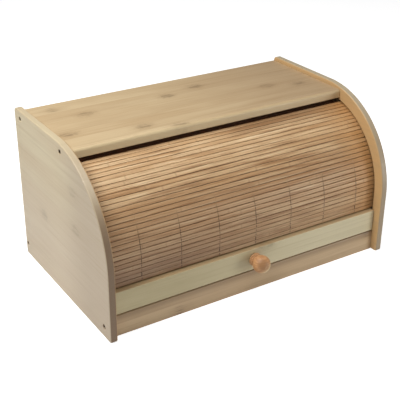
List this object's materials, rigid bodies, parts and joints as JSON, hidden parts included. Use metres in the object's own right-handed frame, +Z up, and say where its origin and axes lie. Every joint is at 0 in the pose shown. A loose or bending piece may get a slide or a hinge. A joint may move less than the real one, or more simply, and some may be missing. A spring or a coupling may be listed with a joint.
{
  "type": "bread box with roll top",
  "caption": "Countertop wooden box with a slatted roll-top front that slides up under its top panel by a knobbed handle bar.",
  "frame": {"origin": "on the surface the box stands on, under the middle of its overall outline, knob included", "axes": "+X along the slats to the right as seen from the front, +Y to the back, +Z up"},
  "size_m": [0.4, 0.2554, 0.2025],
  "materials": {
    "side_bamboo": "satin lacquered bamboo board, pale",
    "top_bamboo": "satin lacquered bamboo board, warm tan with darker nodes",
    "back_bamboo": "satin lacquered bamboo board",
    "bottom_board": "thin unvarnished board",
    "rail_bamboo": "satin lacquered bamboo, tan brown",
    "bar_bamboo": "satin lacquered bamboo, pale greenish yellow",
    "slat_bamboo": "split bamboo strips, matt, orange tan",
    "knob_wood": "turned hardwood, satin lacquer, orange brown",
    "backing_fabric": "brown cotton backing and sewing thread",
    "screw_steel": "bronzed steel"
  },
  "bodies": {
    "case": {"side_panel_left": "side_bamboo", "side_panel_right": "side_bamboo", "top_panel": "top_bamboo", "back_panel": "back_bamboo", "bottom_panel": "bottom_board", "front_rail": "rail_bamboo", "screw_left_top_front": "screw_steel", "screw_left_top_rear": "screw_steel", "screw_left_back": "screw_steel", "screw_left_rail": "screw_steel", "screw_right_top_front": "screw_steel", "screw_right_top_rear": "screw_steel", "screw_right_back": "screw_steel", "screw_right_rail": "screw_steel"},
    "curtain": {"slat_05": "slat_bamboo", "slat_06": "slat_bamboo", "slat_07": "slat_bamboo", "slat_08": "slat_bamboo", "slat_09": "slat_bamboo", "slat_10": "slat_bamboo", "slat_11": "slat_bamboo", "slat_12": "slat_bamboo", "slat_13": "slat_bamboo", "slat_14": "slat_bamboo", "slat_15": "slat_bamboo", "slat_16": "slat_bamboo", "slat_17": "slat_bamboo", "slat_18": "slat_bamboo", "slat_19": "slat_bamboo", "slat_20": "slat_bamboo", "slat_21": "slat_bamboo", "slat_22": "slat_bamboo", "slat_23": "slat_bamboo", "slat_24": "slat_bamboo", "slat_25": "slat_bamboo", "slat_26": "slat_bamboo", "slat_27": "slat_bamboo", "slat_28": "slat_bamboo", "backing_cloth": "backing_fabric"},
    "lower_curtain": {"slat_01": "slat_bamboo", "slat_02": "slat_bamboo", "slat_03": "slat_bamboo", "slat_04": "slat_bamboo", "backing_cloth_leg": "backing_fabric"},
    "handle": {"handle_bar": "bar_bamboo", "knob": "knob_wood", "knob_screw": "screw_steel", "backing_cloth_tail": "backing_fabric"}
  },
  "joints": [
    {"name": "curtain_roll", "type": "hinge", "parent": "case", "child": "curtain", "pos_m": [0, 0.0077, 0.08], "axis": [-1, 0, 0], "range_deg": [0, 90]},
    {"name": "leg_fold", "type": "hinge", "parent": "curtain", "child": "lower_curtain", "pos_m": [0, -0.0911, 0.08], "axis": [1, 0, 0], "range_deg": [0, 6.39]},
    {"name": "handle_fold", "type": "hinge", "parent": "lower_curtain", "child": "handle", "pos_m": [0, -0.0911, 0.05807], "axis": [1, 0, 0], "range_deg": [0, 15.09]}
  ],
  "couplings": [
    {"joint": "leg_fold", "follows": "curtain_roll", "ratio": 0.070804},
    {"joint": "handle_fold", "follows": "curtain_roll", "ratio": 0.1674}
  ]
}
